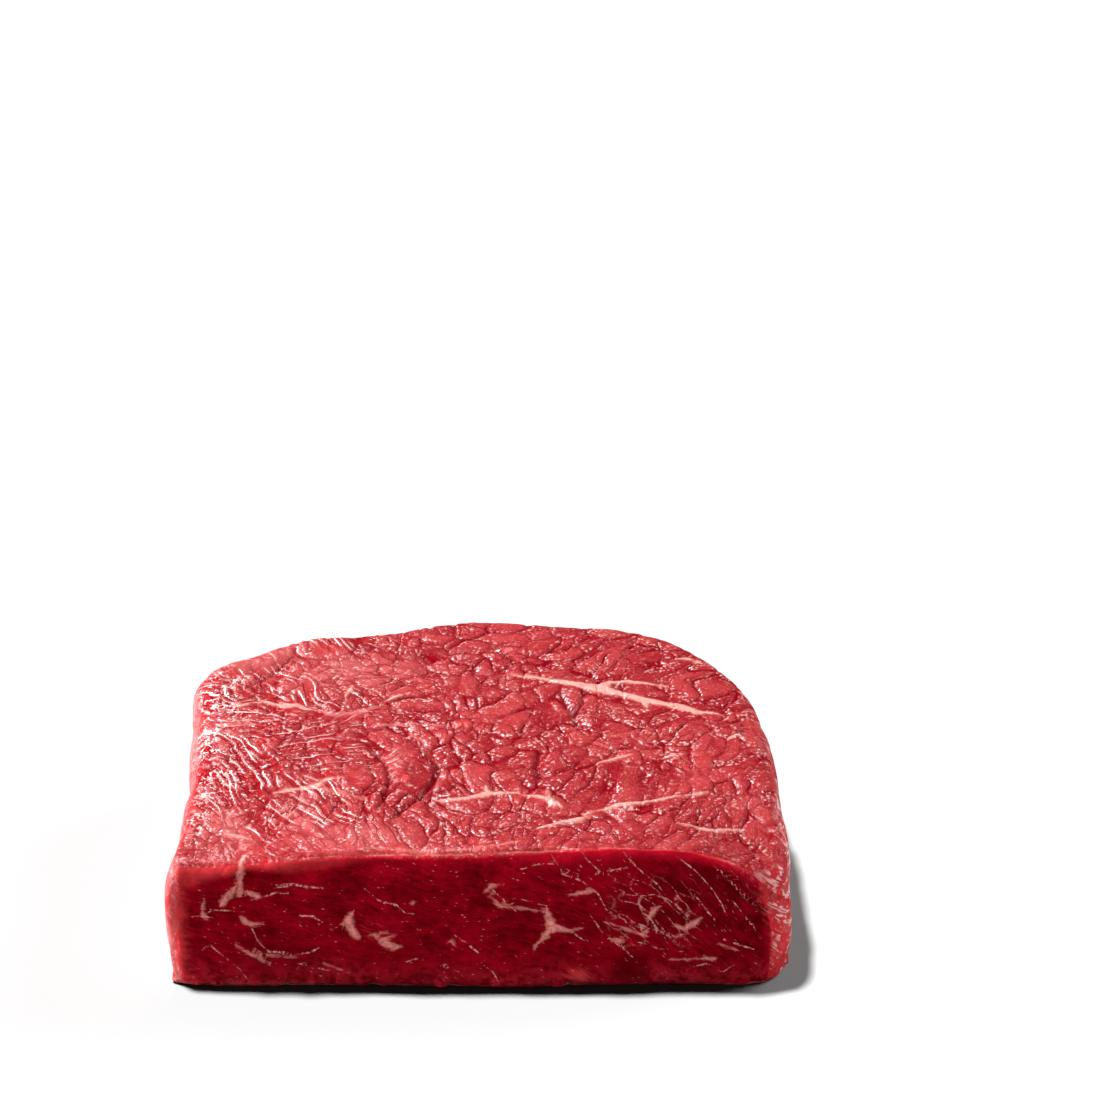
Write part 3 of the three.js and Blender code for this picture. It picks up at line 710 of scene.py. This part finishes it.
beef = {
    "bright": (0.43, 0.039, 0.042, 1),  # linear colours of the bloomed top
    "deep": (0.29, 0.015, 0.021, 1),
    # painted shade in the furrows, the strands and on the wrinkle flanks facing away from the lamps
    "furrow": (0.24, 0.0004, 0.006, 1),
    "groove": (0.39, 0.014, 0.019, 1),  # painted shade between the wrinkles of the left part
    # painted shade in the clefts
    "cleft": (0.26, 0.001, 0.006, 1),
    "paintedGlint": (0.80, 0.43, 0.41, 1),  # painted highlights: pale pink where beads of moisture catch the lamps
    "milky": (0.58, 0.14, 0.14, 1),  # mottling of the bundles; on the calm patches, wrinkle ridges and left wall partly pale tissue, partly painted sheen
    "lump": (0.55, 0.05, 0.05, 1),
    "wall": (0.50, 0.018, 0.026, 1),
    "cut": (0.32, 0.0015, 0.010, 1),  # the darker flesh of the fresh knife cut
    # the darkest flesh of the cut, also laid on as painted shade at the foot and in the hollows
    "cutDeep": (0.09, 0.0001, 0.002, 1),
    "paintedFloorLight": (0.40, 0.014, 0.028, 1),  # painted light from the floor, in patches towards the foot of the cut
    "rim": (0.55, 0.022, 0.032, 1),  # painted glow where the top turns over into the cut
    "edge": (0.44, 0.004, 0.018, 1),  # painted glow of light through the flesh, in a band below the upper edge of the cut
    "paintedLeftLight": (0.62, 0.05, 0.055, 1),  # painted light: the same glow brighter on the left, on the left end of the cut, and on its lumps
    "web": (0.85, 0.34, 0.31, 1),  # fine connective tissue on the cut, with painted glints on its beaded lines
    "fat": (0.67, 0.35, 0.30, 1),
    "cutFat": (0.90, 0.31, 0.27, 1),
    "film": (0.66, 0.17, 0.15, 1),
    "leftPart": (-14.0, -32.0),  # x over which the painted glow below the edge of the cut gets brighter
    "squiggles": (-38.0, -48.0),  # x over which the finest wrinkles set in
    "leftWall": (-50.0, -52.5),  # x over which the wall turns milky: pale tissue and painted sheen
    "corner": (34, 44),  # x over which the streaks of the right corner set in
    "webMiddle": (31, 15),  # x and z of the fine tissue on the cut
    "dullRoughness": 0.5,
    "wetRoughness": 0.18,
    "subsurface": 0.3,
    "subsurfaceRadius": (1.0, 0.12, 0.1),
    "subsurfaceReach": 0.003,
    "noiseScales": (0.14, 0.55, 1.3, 3.0),  # per millimetre, from the coarse noise to the grain
    "bumps": {  # how far each pattern stands up or sinks in, in millimetres
        "grain": 0.03, "fine": 0.12, "medium": 0.25, "furrow": -0.16, "strand": -0.1, "groove": -0.12,
        "shadedFlank": -0.08, "dots": 0.1, "beading": 0.14, "wallStreak": 0.12, "fat": 0.05,
        "fibres": 0.08, "hairs": 0.04, "seam": 0.1,
    },
}


def beefMaterial():
    paint = Paint("rawBeef")
    step, blend, stored, noise, joined = paint.step, paint.blend, paint.stored, paint.noise, paint.joined
    place = paint.millimetres()
    alongX, alongY, up = paint.node("ShaderNodeSeparateXYZ", {}, {"Vector": place}, ("X", "Y", "Z"))
    onWall = stored("onSide")
    coarseScale, mediumScale, fineScale, grainScale = beef["noiseScales"]
    coarse = noise(place, coarseScale, 3)
    medium = noise(place, mediumScale, 3)
    fine = noise(place, fineScale, 2, 0.6)
    grain = noise(place, grainScale, 1, 0.6)
    cutEdge = stored("onCut")
    cutEdge = cutEdge + cutEdge * (1 - cutEdge) * (medium * 4 + fine * 2 - 3)
    onCut, rimGlow = step(cutEdge, 0.5, 0.9), step(cutEdge, 0.05, 0.5)
    notCut = 1 - onCut

    # Furrows, strands, fat and wrinkles
    furrowLine = paint.line("furrowSide", "furrowDistance") + (fine - 0.5) * 0.22
    furrow = step(furrowLine, 0.06 + medium * 0.48, 0.06) * stored("furrowOpen") * notCut
    strandLine = paint.line("strandSide", "strandDistance") + (fine - 0.5) * 0.2
    strand = step(strandLine, 0.24, 0.05) * stored("strandOpen") * notCut
    along, across = alongX * 0.16, stored("across") + (coarse - 0.5) * 5
    fibres = noise(joined(along, 0.0, across * 1.3), 1.0, 3, 0.6)
    fatLine = paint.stroke("fat") + (fine - 0.5) * 0.6 + (medium - 0.5) * 1.4 + (fibres - 0.5) * onCut * 1.6
    fatLine = fatLine * (1 - onCut * 0.5)  # softer edges on the cut
    fat = step(fatLine, 0.14, -0.22) * (0.75 + step(medium, 0.35, 0.6) * 0.25)
    fatRim = step(fatLine, 0.5, 0.0) * 0.6
    film = step(stored("filmDistance") + (coarse - 0.5) * 1.6 + (medium - 0.5) * 2.4, 0.3, -0.2)
    wrinkled = stored("wrinkled") * notCut * (1 - onWall)
    waveLine = stored("waveSide") + (fine - 0.5) * 0.1 + (medium - 0.5) * 0.2
    lined = step(wrinkled, 0.2, 0.6) * stored("waveOpen") * step(abs(waveLine), 0.22, 0.1)
    groove = step(waveLine, 0.1, -0.35) * wrinkled
    # darker lines on the wrinkle flanks facing away from the lamps: painted shade
    shadedFlank = step(stored("waveFacing"), 0.0, -0.4) * lined
    bentX, bentY = alongX + (medium - 0.5) * 5, alongY + (coarse - 0.5) * 12
    net = paint.webbing(joined(bentX * 0.55 + bentY * 0.2, bentY * 0.3 - bentX * 0.15, up * 0.4))
    squiggles = step(net + (fine - 0.5) * 0.1, 0.09, 0.04) * step(fine + coarse, 1.0, 1.08)
    squiggles = squiggles * step(alongX, *beef["squiggles"])
    # thin lines on the wrinkle flanks facing the lamps: painted highlights, with gloss too
    crest = step(stored("waveFacing"), -0.2, 0.2) * lined
    crest = crest * step(coarse + medium * 0.6, 0.63, 0.77)
    crest = crest.most(squiggles * wrinkled)

    # Colours of the top and of the walls
    pale = stored("pale")
    middle = step(stored("furrowDistance"), 0.0, 1.5)  # 1 in the middles of the bundles, darker towards the furrows: painted shade
    lightness = coarse * 0.7 + stored("bundleNumber") * 0.35 + medium * 0.5 + pale * 0.4 + middle * 0.3
    lightness = step(lightness, 0.62, 1.3)
    milky = (step(fine + grain, 1.0, 1.3) * 0.4).most(pale * 0.55)
    # painted shade in the clefts
    hollow = step(stored("cleft"), 0.25, 1.1)
    # painted shade in the furrows, the strands and the shaded flanks
    shade = (furrow * 0.95).most(strand * 0.65).most(shadedFlank * 0.85)
    atCorner = step(alongX, *beef["corner"]) * step(alongY, -8, -24)
    streakX = alongX * 0.9 + up * (0.1 + atCorner * 0.8)
    streakY, streakZ = alongY * (0.8 - atCorner * 0.6), up * (0.35 - atCorner * 0.22)
    streaks = noise(joined(streakX, streakY, streakZ), 1.0)
    leftmost = step(alongX, *beef["leftWall"])
    # pale tissue and painted sheen on the left wall
    milkyWallSheen = onWall * leftmost * step(streaks, 0.85, 0.15)
    # the milky tint on the wrinkle ridges is painted sheen, the groove tint painted shade
    topColour = paint.layers(blend(beef["deep"], beef["bright"], lightness), (
        (beef["milky"], milky), (beef["milky"], (wrinkled - groove) * 0.1), (beef["groove"], groove * 0.7),
        (beef["lump"], stored("lump")), (beef["cleft"], hollow * 0.8), (beef["furrow"], shade),
        (beef["film"], (film * 0.6).most(fatRim)), (beef["rim"], rimGlow * 0.8),
        (beef["wall"], onWall * step(streaks, 0.3, 0.6)), (beef["milky"], milkyWallSheen * 0.8)))

    # Colours of the knife cut
    hairs = noise(joined(alongX * 0.5, 0.0, across * 3.4), 1.0, 1)
    cutLightness = coarse * 0.5 + fibres * 0.6 + medium * 0.4 + hairs * 0.3
    cutLightness = cutLightness - step(alongX, 24.0, 44.0) * 0.12
    cutLightness = step(cutLightness, 0.62, 1.15)
    # painted light from the floor, in patches, towards the foot of the cut
    low = 0.15 + step(medium + fine * 0.6, 0.65, 0.95) * 0.75
    low = low * step(up + (coarse - 0.5) * 8, 7.0, 0.0)
    # lighter on the raised lumps: painted light
    raised = step(stored("cutLumps") + (fibres - 0.5) * 1.2, 0.35, 0.8)
    # painted shade at the foot between the folds and in the hollows of the cut
    sunkShade = step(up, 3.0, 0.6) * step(medium + fine, 0.98, 0.8)
    sunkShade = sunkShade.most(step(stored("cutLumps"), -0.15, -0.55))
    seamLine = paint.stroke("seam") + (medium - 0.5) * 0.5
    beads = step(fine + grain * 0.5, 0.62, 0.92)
    seam = step(seamLine, 0.05, -0.06) * beads
    web = paint.webbing(joined(alongX * 0.22, 0.0, across * 0.42)) + (fine - 0.5) * 0.04
    webX, webZ = beef["webMiddle"]
    webZone = step(abs(alongX - webX), 9, 4) * step(abs(up - webZ), 8, 3)
    web = step(web, 0.07, 0.01) * beads * webZone
    dashDistance, dashNumber = paint.cells(joined(alongX * 0.75, 0.0, across * 2.3), 1.0)
    dashes = step(dashDistance, 0.06 + fine * 0.36, 0.06) * step(dashNumber, 0.5, 0.9)
    dashes = dashes * step(medium + coarse * 0.8, 0.82, 1.02)
    marks = seam.most(web * 0.8).most(dashes * 0.8)
    # painted glow and light: a band below the upper edge, a strip along the foot, and both ends of the cut
    belowEdge = stored("belowEdge") + (coarse - 0.5) * 0.8 + (fibres - 0.5) * 0.5
    edge = step(belowEdge, 1.4, 0.4) * 0.85
    edge = edge.most(step(up + (medium - 0.5) * 4, 1.6, 0.3) * step(coarse + medium, 0.85, 1.1))
    fromMiddle = abs(alongX - 0.3) + (fibres - 0.5) * 1.5 + (medium - 0.5) * 1.5
    edge = edge.most(step(fromMiddle, 48.8, 52.6) * 0.95)  # painted light: both ends are brighter too
    edge = edge * (0.75 + step(medium + fine, 0.8, 1.1) * 0.25)
    leftPart = step(alongX + (medium - 0.5) * 8, *beef["leftPart"])
    edgeGlowColour = blend(beef["edge"], beef["paintedLeftLight"], leftPart * 0.75)
    # painted light on the left corner of the cut
    leftRimLight = step(alongX + (fibres - 0.5) * 1.5 + (medium - 0.5) * 1.5, -50.4, -52.6)
    cutColour = paint.layers(blend(beef["cutDeep"], beef["cut"], cutLightness), (
        (beef["paintedFloorLight"], low), (beef["paintedLeftLight"], raised * 0.75), (beef["cutDeep"], sunkShade * 0.65),
        (beef["web"], marks * 0.8), (edgeGlowColour, edge), (beef["paintedLeftLight"], leftRimLight * 0.9)))

    # Painted highlights of the moisture, the pale line along the edge, and the fat
    rimLine = step(abs(cutEdge - 0.2), 0.2, 0.05) * (1 - onWall)
    rimLine = rimLine * step(coarse + medium * 0.5, 0.68, 0.85)
    fatShare = fat * (0.5 + step(fine * 0.6 + fibres * 0.4, 0.4, 0.6) * 0.45).most(notCut)
    fatColour = blend(beef["fat"], beef["cutFat"], onCut)
    dotDistance, dotNumber = paint.cells(place, 1.0)
    dots = step(dotDistance, 0.07 + dotNumber * 0.18, 0.04) * step(dotNumber, 0.35, 0.45)
    dots = dots * notCut * (1 - onWall * 0.8) * (1 - rimGlow * 0.7)
    beadDistance, _ = paint.cells(place, 1.3)
    beading = paint.lampSideBank("furrow").most(paint.lampSideBank("strand") * 0.8)
    beading = beading * step(beadDistance, 0.5, 0.28) * notCut * (1 - onWall * 0.8)
    glint = dots.most(beading).most(crest)
    wallStreak = step(abs(streaks - 0.53), 0.07, 0.02) * onWall
    wallStreak = wallStreak * step(medium + coarse * 0.5, 0.7, 0.85)
    # dots, beads on the lamp side of furrows, lines on lit wrinkle flanks, wall streaks: painted highlights
    # over real bumps and gloss
    paintedGlint = (dots * 0.65).most(beading * 0.85).most(crest * 0.95)
    paintedGlint = paintedGlint.most(wallStreak * (0.25 + atCorner * 0.45 + leftmost * 0.15))
    colour = paint.layers(blend(topColour, cutColour, onCut), (
        (beef["film"], rimLine * 0.7), (fatColour, fatShare), (beef["paintedGlint"], paintedGlint)))

    # The fine relief, and gloss where the flesh is wet
    patterns = {
        "grain": grain, "fine": fine, "medium": medium, "furrow": furrow, "strand": strand, "groove": groove,
        "shadedFlank": shadedFlank, "dots": dots, "beading": beading, "wallStreak": wallStreak, "fat": fat,
        "fibres": onCut * fibres, "hairs": onCut * hairs, "seam": onCut * seam,
    }
    height = sum(pattern * beef["bumps"][name] for name, pattern in patterns.items())
    bump = paint.node("ShaderNodeBump", {}, {"Height": height * 0.001, "Strength": 1.0, "Distance": 1.0})
    body = {
        "Base Color": colour, "Normal": bump,
        "Subsurface Weight": beef["subsurface"], "Subsurface Radius": beef["subsurfaceRadius"],
        "Subsurface Scale": beef["subsurfaceReach"],
    }
    roughness = beef["wetRoughness"] + (medium - 0.5) * 0.12 - glint.most(wrinkled) * 0.06
    dull = paint.node("ShaderNodeBsdfPrincipled", {}, body | {
        "Roughness": beef["dullRoughness"], "IOR": 1.4, "Specular IOR Level": 0.0})
    wet = paint.node("ShaderNodeBsdfPrincipled", {}, body | {"Roughness": roughness, "IOR": 1.45})
    sheen = step(medium * 0.7 + coarse * 0.4 - groove * 0.3, 0.5, 0.88)
    wetWall = onWall * (0.06 + step(alongX, 10.0, -40.0) * 0.66)  # wetter towards the left
    dry = 1 - shade.most(groove * 0.8).most(hollow * 0.8)
    wetness = (sheen.most(wetWall) * dry).most(glint).most(wallStreak) * notCut + onCut * marks * 0.6
    shader = paint.node("ShaderNodeMixShader", {}, {0: wetness, 1: dull, 2: wet})
    return paint.finish(shader)


studio = {
    "floorColour": (0.92, 0.92, 0.92, 1),
    "floorSize": 6.0,
    "lampDistance": 1.0,
    "keyFrom": (-0.25, 0.13, 1.0),  # towards the lamp
    "keySpread": 6.0,  # degrees
    "keyPower": 3.4,
    "fill": 0.008,  # even light from all round
    # Towards the lamp, width and power of the one that lights the floor alone, so the shadow isn't too deep
    "floorBox": ((1.0, 0.5, 0.6), 0.5, 3.6),
    "boxes": [  # soft boxes that light the steak alone: towards the lamp, width, power, seen only as gloss
        ("backBox", (-0.5, 0.9, 0.62), 0.4, 18.0, True),
        ("upperBox", (-0.54, 0.45, 0.7), 1.0, 32.0, True),
        ("leftRimBox", (-0.75, 0.65, 0.14), 0.6, 5.0, True),
        ("rightRimBox", (0.7, 0.6, 0.25), 0.5, 7.0, True),
        ("leftBox", (-1.0, -0.05, 0.3), 0.6, 18.0, False),
        ("rightBox", (1.0, -0.2, 0.35), 0.5, 4.5, False),
        ("frontBox", (0.1, -1.0, 0.15), 0.6, 1.0, False),
    ],
}


def addFloor():  # a flat square under the steak
    half = studio["floorSize"] / 2
    mesh = bpy.data.meshes.new("floor")
    corners = [(-half, -half, 0), (half, -half, 0), (half, half, 0), (-half, half, 0)]
    mesh.from_pydata(corners, [], [(0, 1, 2, 3)])
    floor = addObject("floor", mesh)
    paint = Paint("paleFloor")
    floor.data.materials.append(paint.finish(paint.node("ShaderNodeBsdfPrincipled", {}, {
        "Base Color": studio["floorColour"], "Roughness": 0.7, "Specular IOR Level": 0.1})))
    return floor


def addLamp(name, kind, towards):  # a lamp that shines along its own -Z at the steak
    lamp = bpy.data.lights.new(name, kind)
    holder = addObject(name, lamp)
    direction = Vector(towards).normalized()
    holder.location = direction * studio["lampDistance"]
    holder.rotation_euler = direction.to_track_quat("Z", "Y").to_euler()
    return lamp, holder


def addBox(name, towards, width, power, lit, bounces):  # a soft box that lights one collection alone
    lamp, holder = addLamp(name, "AREA", towards)
    lamp.size = width
    lamp.energy = power
    lamp.cycles.max_bounces = bounces
    holder.light_linking.receiver_collection = lit
    return holder


def addLights():
    world = bpy.data.worlds.new("studio")
    bpy.context.scene.world = world
    world.use_nodes = True
    world.node_tree.nodes["Background"].inputs["Color"].default_value = (1, 1, 1, 1)
    world.node_tree.nodes["Background"].inputs["Strength"].default_value = studio["fill"]
    key, _ = addLamp("key", "SUN", studio["keyFrom"])
    key.energy = studio["keyPower"]
    key.angle = math.radians(studio["keySpread"])
    key.cycles.max_bounces = 1  # the floor lights the walls, but they throw no red light back on to it
    onlySteak, onlyFloor = (bpy.data.collections.new(name) for name in ("litByBoxes", "litByFloorBox"))
    for *box, glossOnly in studio["boxes"]:
        holder = addBox(*box, onlySteak, 0)  # no bounce, so no red light thrown on to the floor
        holder.visible_diffuse = not glossOnly
    addBox("floorBox", *studio["floorBox"], onlyFloor, 1)
    return onlySteak, onlyFloor


cameraView = {
    "place": (0.01293, -0.50156, 0.29932),  # metres
    "down": 25.3,  # degrees below the horizon
    "focal": 3100,  # pixels in a frame 1100 wide
    "frameWidth": 1100,
}


def addCamera():
    lens = bpy.data.cameras.new("camera")
    lens.sensor_width = 36
    lens.lens = cameraView["focal"] / cameraView["frameWidth"] * lens.sensor_width
    lens.clip_start = 0.01
    camera = addObject("camera", lens)
    camera.location = cameraView["place"]
    camera.rotation_euler = (math.radians(90 - cameraView["down"]), 0, 0)
    bpy.context.scene.camera = camera


addCamera()
litByBoxes, litByFloorBox = addLights()
litByFloorBox.objects.link(addFloor())
bpy.context.scene.view_settings.view_transform = "Standard"  # keeps the saturated reds
print("camera, lights and floor in place")

piece = makeSteak()
piece.data.materials.append(beefMaterial())
litByBoxes.objects.link(piece)
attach(piece, "root")
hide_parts(steak["node"])
print("steak finished")
